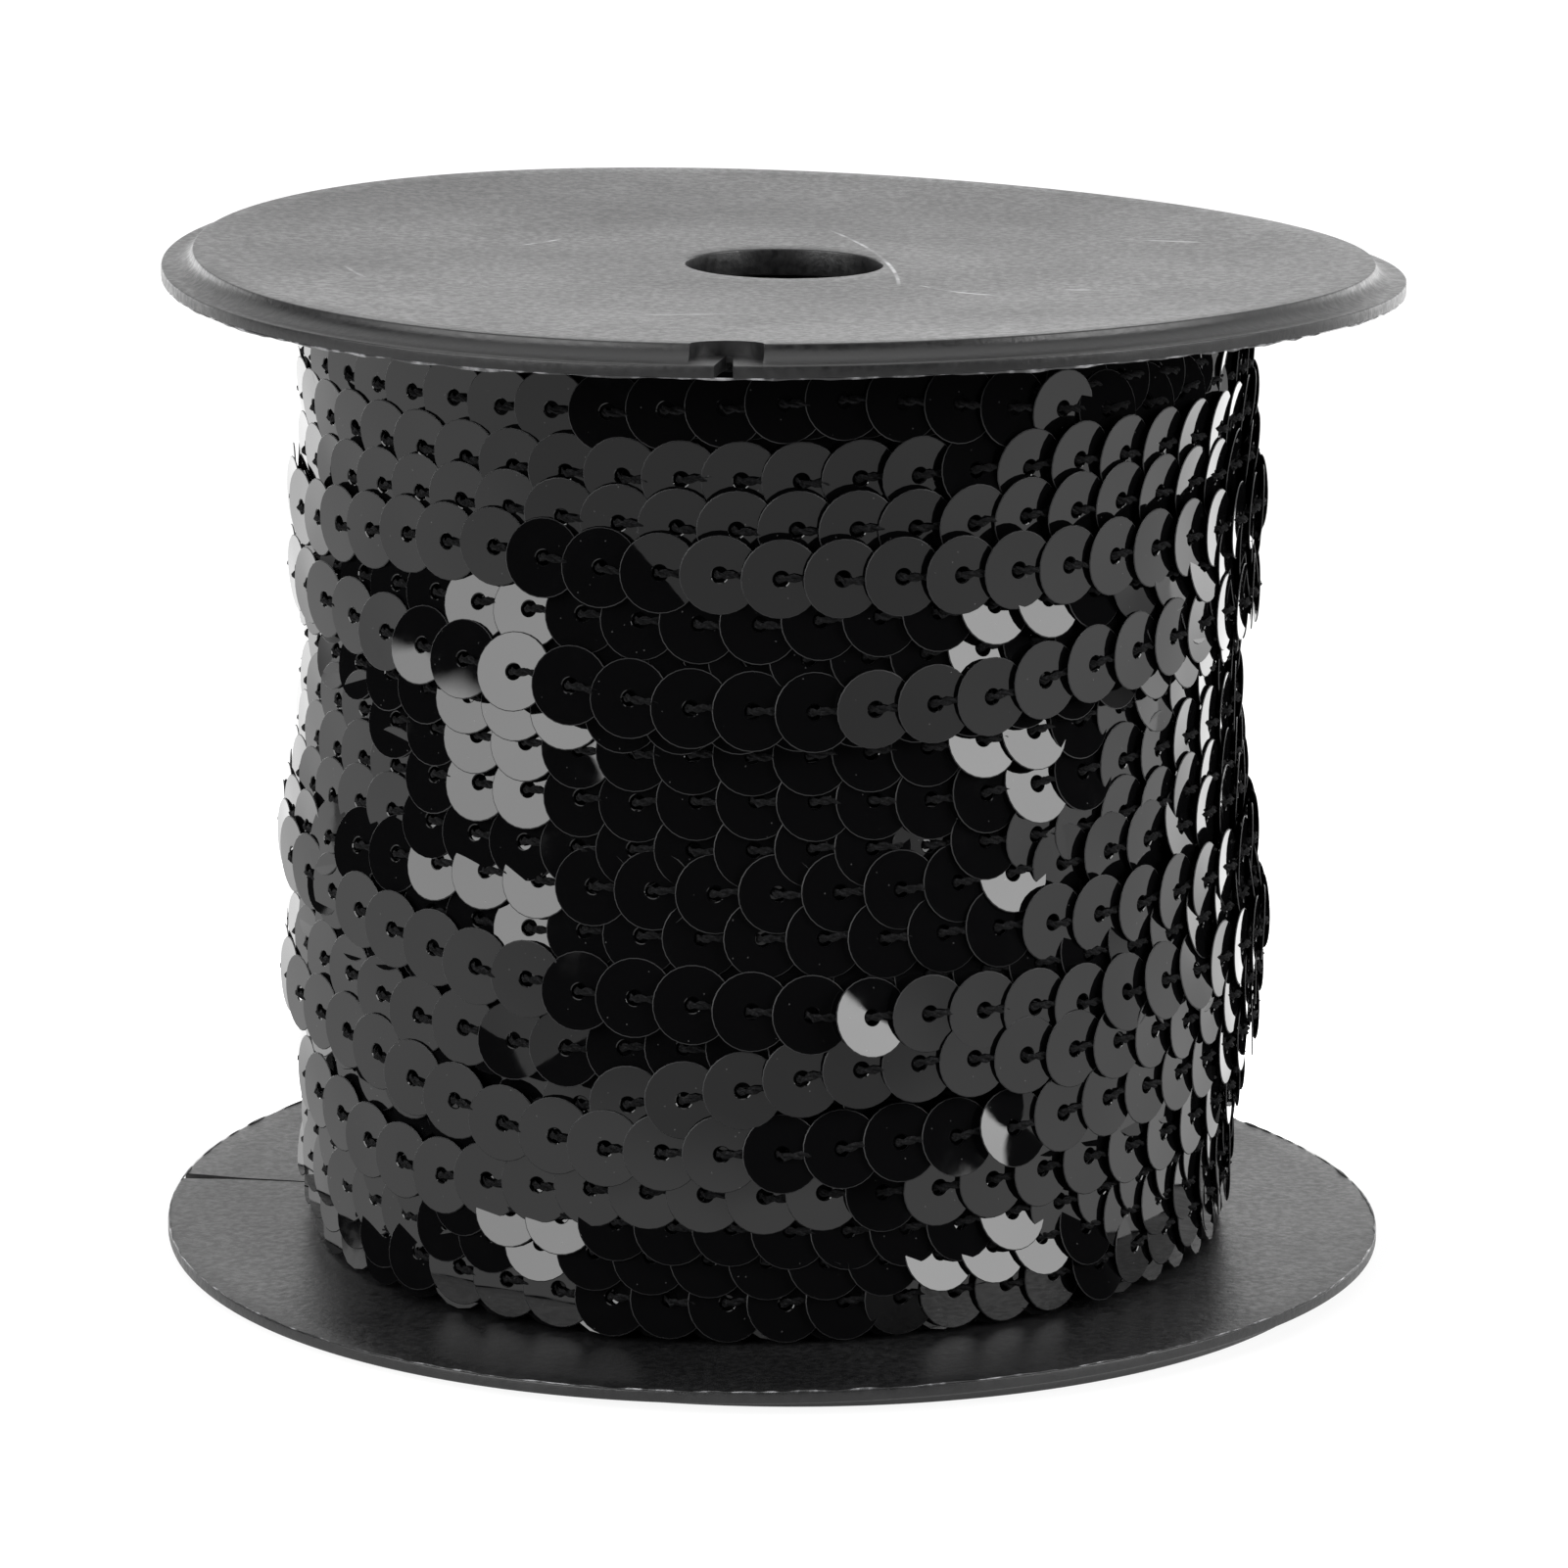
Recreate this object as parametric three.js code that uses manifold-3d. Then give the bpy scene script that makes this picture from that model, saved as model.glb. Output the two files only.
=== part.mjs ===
// A moulded plastic spool, wound with a strand of flat round sequins.
// Millimetres, +Z up. The spool stands on its lower flange, its axis is Z, and the
// origin is on the surface it stands on. The front of the spool looks along -Y.
import * as THREE from 'three';
import { mergeVertices } from 'three/addons/utils/BufferGeometryUtils.js';
import Module from 'manifold-3d';

const wasm = await Module();
wasm.setup();

// Driving dimensions
const flangeRadius = 48.5;
const flangeGap = 75.5; // between the inner faces of the two flanges, at the rim
const lipThickness = 0.93; // the thin rim of a flange
const raisedHeight = 1.2; // the raised outer face stands this far above the rim
const raisedInset = 2.4; // from the rim to the edge of the raised face
const coveWidth = 1.7; // the hollow fillet between the raised face and the rim
const holeRadius = 7.75;
const hubRadius = 19; // the flat middle of a flange
const hubDish = 1.1; // the middle of the upper flange lies lower than its rim
const dishPower = 1.5;
const coreRadius = 17;
const coreWall = 2;
const assemblyGap = 0.3;
const notchHalfWidth = 2.7; // the thread notch in the rim
const notchReach = 2.2;
const slitWidthAtRim = 1.5;
const slitWidthInside = 0.5;
const grooveWidth = 0.6; // the groove that runs inward from the notch on the inner face
const grooveDepth = 0.45;
const grooveEndRadius = 36.5;
const upperNotchAzimuth = -5;
const lowerNotchAzimuth = -98;

const flangeThickness = lipThickness + raisedHeight;
const raisedRadius = flangeRadius - raisedInset;
const lowerInnerFace = flangeThickness;
const upperInnerFace = lowerInnerFace + flangeGap;

// A flange has cooled out of true: it tilts, twists and saddles by these heights at the rim
const upperWarp = { tiltX: -0.18, tiltY: 0.02, twist: -1.14, saddle: 0.03 };
const lowerWarp = { tiltX: 0.09, tiltY: 0.42, twist: -1.06, saddle: -0.19 };
const warpRunIn = 11; // the flat middle passes into the warped part over this width

const aroundFlange = 72;
const aroundCore = 48;
const aroundWinding = 64;

const radians = (degrees) => (degrees * Math.PI) / 180;
const mix = (a, b, t) => a + (b - a) * t;
const clamp01 = (t) => Math.min(1, Math.max(0, t));
const smooth = (t) => clamp01(t) ** 2 * (3 - 2 * clamp01(t));

function warpHeight(warp, x, y) {
  const u = x / flangeRadius;
  const v = y / flangeRadius;
  const settled = smooth((Math.hypot(x, y) - hubRadius) / warpRunIn);
  return settled * (warp.tiltX * u + warp.tiltY * v + warp.twist * u * v + warp.saddle * (u * u - v * v));
}

function dishHeight(radius) {
  const rise = clamp01((radius - hubRadius) / (raisedRadius - hubRadius)) ** dishPower;
  return -hubDish * (1 - rise);
}

const upperFaceHeight = (x, y) => upperInnerFace + warpHeight(upperWarp, x, y) + dishHeight(Math.hypot(x, y));
const lowerFaceHeight = (x, y) => lowerInnerFace + warpHeight(lowerWarp, x, y);

function material(color, roughness) {
  return new THREE.MeshStandardMaterial({ color, roughness, metalness: 0 });
}

function toSolid(geometry) {
  const bare = geometry.clone();
  bare.deleteAttribute('normal');
  bare.deleteAttribute('uv');
  const merged = mergeVertices(bare, 1e-4);
  return new wasm.Manifold(new wasm.Mesh({
    numProp: 3,
    vertProperties: new Float32Array(merged.attributes.position.array),
    triVerts: new Uint32Array(merged.index.array),
  }));
}

function toGeometry(solid) {
  const mesh = solid.getMesh();
  const geometry = new THREE.BufferGeometry();
  geometry.setAttribute('position', new THREE.BufferAttribute(new Float32Array(mesh.vertProperties), 3));
  geometry.setIndex(new THREE.BufferAttribute(new Uint32Array(mesh.triVerts), 1));
  return geometry;
}

// A ring turned from points of radius and height, given from the inner face outward
function turned(profile, around) {
  const points = profile.map((p) => new THREE.Vector2(p.radius, p.height));
  points.push(points[0].clone());
  const lathe = new THREE.LatheGeometry(points, around);
  lathe.rotateX(Math.PI / 2);
  return lathe;
}

// The section of a flange. Height 0 is the inner face, and the outer face is up.
function flangeSection() {
  const innerFace = [holeRadius, hubRadius, 23, 28, 34, 41, flangeRadius];
  const outerFace = [41, 34, 28, 23, hubRadius, holeRadius];
  const section = innerFace.map((radius) => ({ radius, height: 0 }));
  const steps = 4;
  for (let i = 0; i <= steps; i += 1) {
    const turn = radians(90 * (1 - i / steps));
    section.push({
      radius: raisedRadius + coveWidth * (1 - Math.cos(turn)),
      height: flangeThickness - raisedHeight * Math.sin(turn),
    });
  }
  section.splice(innerFace.length, 0, { radius: flangeRadius, height: lipThickness });
  outerFace.forEach((radius) => section.push({ radius, height: flangeThickness }));
  return section;
}

function movePoints(geometry, heightOf) {
  const place = geometry.attributes.position;
  for (let i = 0; i < place.count; i += 1) {
    place.setZ(i, heightOf(place.getX(i), place.getY(i), place.getZ(i)));
  }
  return geometry;
}

// A prism with the given outline, drawn with its first axis pointing out along the azimuth
function radialPrism(outline, azimuth, bottom, height) {
  const prism = new THREE.ExtrudeGeometry(outline, { depth: height, bevelEnabled: false, curveSegments: 8 });
  prism.rotateZ(radians(azimuth - 90));
  prism.translate(0, 0, bottom);
  return toSolid(prism);
}

function notchOutline() {
  const outline = new THREE.Shape();
  outline.absellipse(raisedRadius, 0, notchReach, notchHalfWidth, Math.PI / 2, (3 * Math.PI) / 2, false, 0);
  outline.lineTo(flangeRadius + 1, -notchHalfWidth);
  outline.lineTo(flangeRadius + 1, notchHalfWidth);
  outline.closePath();
  return outline;
}

function wedgeOutline(innerRadius, innerWidth, rimWidth) {
  const reach = flangeRadius + 0.5;
  return new THREE.Shape([
    new THREE.Vector2(innerRadius, -innerWidth / 2),
    new THREE.Vector2(reach, -rimWidth / 2),
    new THREE.Vector2(reach, rimWidth / 2),
    new THREE.Vector2(innerRadius, innerWidth / 2),
  ]);
}

// Cuts the pocket, the slit through the rim and the groove on the inner face. The outer face of
// the flange is up when outward is 1 and down when it is -1.
function cutNotch(flange, azimuth, innerFaceHeight, outward) {
  const through = 6;
  const slab = (outline, near, far) => {
    const bottom = innerFaceHeight + (outward > 0 ? near : -far);
    return radialPrism(outline, azimuth, bottom, far - near);
  };
  const pocket = slab(notchOutline(), lipThickness, lipThickness + through);
  const slitStart = raisedRadius - notchReach + 0.3;
  const slit = slab(wedgeOutline(slitStart, slitWidthInside, slitWidthAtRim), -through, through);
  const groove = slab(wedgeOutline(grooveEndRadius, grooveWidth / 3, grooveWidth), -through, grooveDepth);
  return flange.subtract(pocket).subtract(slit).subtract(groove);
}

function upperFlange() {
  const blank = turned(flangeSection(), aroundFlange);
  movePoints(blank, (x, y, z) => z + upperFaceHeight(x, y));
  const x = raisedRadius * Math.sin(radians(upperNotchAzimuth));
  const y = -raisedRadius * Math.cos(radians(upperNotchAzimuth));
  return toGeometry(cutNotch(toSolid(blank), upperNotchAzimuth, upperFaceHeight(x, y), 1));
}

// The lower flange is turned over. Its raised face stays flat, so that the spool stands on it.
function lowerFlange() {
  const section = flangeSection().reverse();
  section.forEach((p) => {
    p.height = -p.height;
  });
  const blank = turned(section, aroundFlange);
  movePoints(blank, (x, y, z) => {
    const face = lowerFaceHeight(x, y);
    const aboveFloor = clamp01((z + flangeThickness) / raisedHeight);
    return z > -lipThickness ? z + face : aboveFloor * (face - lipThickness);
  });
  const x = raisedRadius * Math.sin(radians(lowerNotchAzimuth));
  const y = -raisedRadius * Math.cos(radians(lowerNotchAzimuth));
  return toGeometry(cutNotch(toSolid(blank), lowerNotchAzimuth, lowerFaceHeight(x, y), -1));
}

function coreTube() {
  const bottom = lowerFaceHeight(0, 0) + assemblyGap;
  const top = upperFaceHeight(0, 0) - assemblyGap;
  return turned([
    { radius: coreRadius - coreWall, height: bottom },
    { radius: coreRadius, height: bottom },
    { radius: coreRadius, height: top },
    { radius: coreRadius - coreWall, height: top },
  ], aroundCore);
}

// The turns of the strand that show, from the top down. The columns give the height of the middle
// of a turn at the back, at both sides and across the front. proud is how far a turn stands out
// of the turns beside it. lean is 1 where its upper edge stands out, -1 where its lower one does.
const turns = [
  { back: 75.2, left: 75.3, leftFront: 75.3, front: 76.2, rightFront: 75.6, right: 75.4, proud: 0.0, lean: 0 },
  { back: 72.0, left: 72.2, leftFront: 72.4, front: 73.2, rightFront: 72.5, right: 72.4, proud: 0.1, lean: -1 },
  { back: 68.4, left: 68.7, leftFront: 68.6, front: 68.4, rightFront: 68.8, right: 68.8, proud: 0.2, lean: 1 },
  { back: 64.8, left: 64.4, leftFront: 65.0, front: 64.6, rightFront: 65.1, right: 65.2, proud: 0.2, lean: 1 },
  { back: 60.7, left: 60.6, leftFront: 61.6, front: 61.0, rightFront: 61.2, right: 61.5, proud: 0.5, lean: 0 },
  { back: 57.4, left: 57.4, leftFront: 57.5, front: 57.6, rightFront: 58.1, right: 58.2, proud: -0.4, lean: -1 },
  { back: 54.0, left: 54.6, leftFront: 53.6, front: 51.9, rightFront: 53.8, right: 54.6, proud: 0.6, lean: 0 },
  { back: 50.4, left: 50.1, leftFront: 50.1, front: 48.9, rightFront: 50.4, right: 51.2, proud: -0.2, lean: -1 },
  { back: 46.6, left: 46.6, leftFront: 46.8, front: 46.6, rightFront: 47.3, right: 47.6, proud: 0.0, lean: -1 },
  { back: 43.2, left: 42.8, leftFront: 43.6, front: 43.6, rightFront: 44.2, right: 44.4, proud: 0.0, lean: -1 },
  { back: 39.9, left: 39.2, leftFront: 39.6, front: 40.3, rightFront: 41.0, right: 41.1, proud: 0.0, lean: -1 },
  { back: 36.7, left: 36.2, leftFront: 36.8, front: 37.1, rightFront: 37.9, right: 38.0, proud: 0.0, lean: -1 },
  { back: 33.6, left: 33.9, leftFront: 33.2, front: 33.4, rightFront: 34.0, right: 34.2, proud: -0.1, lean: -1 },
  { back: 29.6, left: 32.1, leftFront: 30.3, front: 28.2, rightFront: 28.4, right: 28.6, proud: 0.5, lean: 0 },
  { back: 25.4, left: 26.3, leftFront: 25.0, front: 23.6, rightFront: 24.0, right: 24.0, proud: 0.3, lean: 1 },
  { back: 20.8, left: 22.1, leftFront: 20.0, front: 17.7, rightFront: 19.4, right: 19.8, proud: 0.5, lean: 0 },
  { back: 16.0, left: 16.2, leftFront: 14.6, front: 14.1, rightFront: 14.8, right: 15.2, proud: 0.2, lean: 1 },
  { back: 11.6, left: 11.8, leftFront: 11.0, front: 11.0, rightFront: 11.7, right: 11.9, proud: 0.0, lean: -1 },
  { back: 8.4, left: 8.4, leftFront: 8.3, front: 8.5, rightFront: 8.9, right: 9.0, proud: 0.0, lean: -1 },
  { back: 5.2, left: 5.6, leftFront: 5.6, front: 5.1, rightFront: 6.2, right: 6.6, proud: 0.1, lean: -1 },
];

const stations = [
  { azimuth: -180, column: 'back' },
  { azimuth: -90, column: 'left' },
  { azimuth: -45, column: 'leftFront' },
  { azimuth: 0, column: 'front' },
  { azimuth: 45, column: 'rightFront' },
  { azimuth: 90, column: 'right' },
  { azimuth: 180, column: 'back' },
];

// The outside of the winding, from the side: the radius at its left and right by height
const bulges = [
  { height: 2, left: 38.2, right: 37.0 },
  { height: 12, left: 37.8, right: 37.0 },
  { height: 18, left: 38.2, right: 38.1 },
  { height: 25, left: 39.7, right: 38.7 },
  { height: 30, left: 38.6, right: 39.0 },
  { height: 34.5, left: 39.6, right: 38.2 },
  { height: 40, left: 38.3, right: 37.0 },
  { height: 50, left: 37.7, right: 36.5 },
  { height: 57, left: 38.5, right: 38.0 },
  { height: 63, left: 37.9, right: 37.4 },
  { height: 78, left: 38.0, right: 36.4 },
];

function turnHeight(turn, azimuth) {
  const i = Math.max(0, stations.findIndex((s) => s.azimuth >= azimuth) - 1);
  const from = stations[i];
  const to = stations[i + 1];
  const t = smooth((azimuth - from.azimuth) / (to.azimuth - from.azimuth));
  return mix(turn[from.column], turn[to.column], t);
}

function bulgeRadius(azimuth, height) {
  const i = Math.max(0, bulges.findIndex((b) => b.height >= height) - 1);
  const from = bulges[i];
  const to = bulges[i + 1];
  const t = smooth((height - from.height) / (to.height - from.height));
  const toRight = 0.5 + 0.5 * Math.sin(radians(azimuth));
  return mix(mix(from.left, to.left, t), mix(from.right, to.right, t), toRight);
}

const valleyDrop = 1.1; // a valley between two turns lies this far behind their crests
const crestShift = 1.5; // how far a leaning turn's crest is from its middle
const valleyShift = 0.5;
const leastStep = 0.3;
const endRounding = 0.6;
const windingInnerRadius = coreRadius + assemblyGap;
const windingMidRadius = 27;

// The outline of the winding at one azimuth, from the lower flange up: a crest and a valley for
// each turn, the crest moved up or down by the turn's lean
function windingSide(azimuth) {
  const side = [];
  const rising = [...turns].reverse();
  rising.forEach((turn, i) => {
    const height = turnHeight(turn, azimuth);
    const crest = height + turn.lean * crestShift;
    if (i > 0) {
      const below = rising[i - 1];
      const belowHeight = turnHeight(below, azimuth);
      const valley = (height + belowHeight) / 2 + ((turn.lean + below.lean) / 2) * valleyShift;
      const lower = Math.min(turn.proud, below.proud);
      side.push({ height: valley, radius: bulgeRadius(azimuth, valley) + lower - valleyDrop });
    }
    side.push({ height: crest, radius: bulgeRadius(azimuth, crest) + turn.proud });
  });
  for (let i = 1; i < side.length; i += 1) {
    side[i].height = Math.max(side[i].height, side[i - 1].height + leastStep);
  }
  return side;
}

// The wound strand as one solid round the core, with its main turns as ridges
function winding() {
  const points = [];
  let rows = 0;
  for (let i = 0; i < aroundWinding; i += 1) {
    const azimuth = -180 + (360 * i) / aroundWinding;
    const sin = Math.sin(radians(azimuth));
    const cos = Math.cos(radians(azimuth));
    const at = (radius, height) => [radius * sin, -radius * cos, height];
    const end = (radius, heightOf, gap) => at(radius, heightOf(radius * sin, -radius * cos) + gap);
    const side = windingSide(azimuth);
    const lowest = side[0].radius - endRounding;
    const highest = side[side.length - 1].radius - endRounding;
    const column = [
      end(windingInnerRadius, lowerFaceHeight, assemblyGap),
      end(windingMidRadius, lowerFaceHeight, assemblyGap),
      end(lowest, lowerFaceHeight, assemblyGap),
      ...side.map((p) => at(p.radius, p.height)),
      end(highest, upperFaceHeight, -assemblyGap),
      end(windingMidRadius, upperFaceHeight, -assemblyGap),
      end(windingInnerRadius, upperFaceHeight, -assemblyGap),
    ];
    rows = column.length;
    column.forEach((p) => points.push(...p));
  }
  const faces = [];
  for (let i = 0; i < aroundWinding; i += 1) {
    const next = (i + 1) % aroundWinding;
    for (let k = 0; k < rows; k += 1) {
      const up = (k + 1) % rows;
      const a = i * rows + k;
      const b = next * rows + k;
      const c = next * rows + up;
      const d = i * rows + up;
      faces.push(a, b, c, a, c, d);
    }
  }
  const geometry = new THREE.BufferGeometry();
  geometry.setAttribute('position', new THREE.BufferAttribute(new Float32Array(points), 3));
  geometry.setIndex(faces);
  return geometry;
}

function piece(name, geometry, look) {
  const mesh = new THREE.Mesh(geometry, look);
  mesh.name = name;
  return mesh;
}

const plastic = material(0x1c1c1e, 0.42);
const film = material(0x0b0b0d, 0.2);

const spool = new THREE.Group();
spool.add(piece('lower_flange', lowerFlange(), plastic));
spool.add(piece('core_tube', coreTube(), plastic.clone()));
spool.add(piece('upper_flange', upperFlange(), plastic.clone()));
spool.add(piece('sequin_winding', winding(), film));

export default spool;
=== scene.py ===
"""A black plastic spool wound with a strand of flat round black sequins.

Lengths in this script are in millimetres and turn into metres as each mesh is made. Azimuth is in
degrees round the spool's axis: 0 faces the camera, 90 is the right side and -90 the left side.
"""
import bisect
import math

import bpy
import numpy as np
from mathutils import Matrix, Vector


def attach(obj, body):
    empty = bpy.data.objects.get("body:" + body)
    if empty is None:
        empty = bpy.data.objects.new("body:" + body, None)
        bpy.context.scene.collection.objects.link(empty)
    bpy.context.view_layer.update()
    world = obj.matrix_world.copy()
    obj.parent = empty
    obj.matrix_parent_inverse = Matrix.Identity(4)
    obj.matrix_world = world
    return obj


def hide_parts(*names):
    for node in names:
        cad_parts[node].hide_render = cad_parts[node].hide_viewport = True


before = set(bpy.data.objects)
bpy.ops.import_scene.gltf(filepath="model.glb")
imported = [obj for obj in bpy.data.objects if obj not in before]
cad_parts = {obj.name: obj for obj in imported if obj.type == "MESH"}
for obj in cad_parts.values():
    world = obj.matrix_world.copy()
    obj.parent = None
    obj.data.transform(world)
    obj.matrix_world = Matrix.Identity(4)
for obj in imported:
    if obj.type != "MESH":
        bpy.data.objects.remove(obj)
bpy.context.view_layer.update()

MM = 0.001
rng = np.random.default_rng(6)

# Camera of the photograph, worked out from the outlines of both flanges. Angles are in degrees.
EYE_FROM_AXIS = 537.9
EYE_HEIGHT = 158.9
CAMERA_PITCH = 12.774
CAMERA_ROLL = 0.724
CAMERA_YAW = 0.054
SENSOR_WIDTH = 36
FOCAL_LENGTH = 159.36

# Studio: strengths of its lights, and the softboxes' borders in degrees
BACKDROP = 1.3
SIDE_WALL = 2.6
SOFTBOX = 7.4
OVERHEAD = 1.5
DARK_SIDE = 0.012
BOX_ELEVATIONS = (8, 38)
LEFT_BOX = (-86, -28)
RIGHT_BOX = (49, 90)
FLOOR_HALF = 2000

# Spool, as in the CAD
FLANGE_RADIUS = 48.5
FLANGE_GAP = 75.5
LIP_THICKNESS = 0.93
RAISED_HEIGHT = 1.2
RAISED_INSET = 2.4
COVE_WIDTH = 1.7
HOLE_RADIUS = 7.75
HUB_RADIUS = 19
HUB_DISH = 1.1
DISH_POWER = 1.5
WARP_RUN_IN = 11
FLANGE_THICKNESS = LIP_THICKNESS + RAISED_HEIGHT
RAISED_RADIUS = FLANGE_RADIUS - RAISED_INSET
LOWER_FACE = FLANGE_THICKNESS
UPPER_FACE = LOWER_FACE + FLANGE_GAP
UPPER_WARP = {"tilt_x": -0.18, "tilt_y": 0.02, "twist": -1.14, "saddle": 0.03}
LOWER_WARP = {"tilt_x": 0.09, "tilt_y": 0.42, "twist": -1.06, "saddle": -0.19}
NOTCH_HALF_WIDTH = 2.7
NOTCH_REACH = 2.2
SLIT_AT_RIM = 1.5
SLIT_INSIDE = 0.5
GROOVE_WIDTH = 0.6
GROOVE_DEPTH = 0.45
GROOVE_END = 36.5
UPPER_NOTCH_AZIMUTH = -5
LOWER_NOTCH_AZIMUTH = -98

# Spool, only in this scene
EDGE_ROUNDING = 0.14
FLANGE_AROUND = 240
FACE_STEP = 2.0  # between the rings of points on the flat faces, which follow the warp
CUT_REACH = 6  # how far the cutters reach past a flange's faces
FLANGE_SHARP_DEGREES = 38
BURR_AROUND = 720
BURR_SIDES = 5
BURR_INSET = 0.02
UPPER_BURR = 0.15
LOWER_BURR = 0.09
# Scratches on the upper flange: middle, direction to the curve's centre, its radius, and half length
SCRATCHES = [
    (7.6, 4.0, 190, 80, 16), (13.0, -13.5, 50, 12, 4.5), (-19.5, 9.0, 140, 30, 3), (22.3, -13.0, 80, 9, 1.5),
    (-6.0, -27.0, 100, 60, 5), (30.0, 14.0, 250, 40, 4), (-33.0, -10.0, 20, 25, 3)]
SCRATCH_WIDTH = 0.22
DISH_MEAN = 0.5  # depth of the flange's dish under the scratches

# Strand of sequins
SEQUIN_RADIUS = 3.0
SEQUIN_THICKNESS = 0.11
SEQUIN_HOLE = 0.6
SEQUIN_CHAMFER = 0.07
SEQUIN_HOLE_EDGE = (0.07, 0.05)  # rounding of the hole's edge, outward and down
SEQUIN_MIDDLE = 1.9  # radius of a ring of points that lets the face bend
SEQUIN_SIDES = 28
SEQUIN_RINGS = 7
RIM_RINGS = (0, 4, 5)  # the rings of a sequin's faces that are cut: its hole and its rim
SEQUIN_BEND = 0.0045  # one over millimetres
BENT_SHAPES = 14  # differently bent sequins, of which each one laid is a copy
HIDDEN_SIDES = 16
SEQUIN_PITCH = 6.88  # degrees round the winding from one sequin to the next
WINDING_RADIUS = 38  # mean radius of the winding's outside
HEIGHT_SPREAD = 0.06
SHOWN_SPREAD = (0.9, 0.5)  # degrees, of yaw and tilt
UNDER_SPREAD = (1.5, 2.0)
SPECIAL_REACH = 2  # degrees from a special azimuth to the sequin that it stands for
# Degrees, by azimuth, that a sequin turns over the one to its left
LEFT_EDGE_LIFT = [(30, 5.5), (52, 8), (75, 7), (100, 5.5)]

# Thread of the strand: two plies that twist as they come through a hole
THREAD_SIDES = 4
PLY_RADIUS = 0.18
PLY_OFFSET = 0.15
PLY_TWIST = 1.25  # radians from one point of the route to the next
THREAD_WANDER = 0.05
THREAD_SHAPES = 8
THREAD_ROUTE = [  # along the strand, outward
    (-0.42, -0.30), (-0.20, -0.02), (0.10, 0.20), (0.50, 0.27), (0.95, 0.25), (1.40, 0.20), (1.90, 0.10),
    (2.30, -0.10)]

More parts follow.
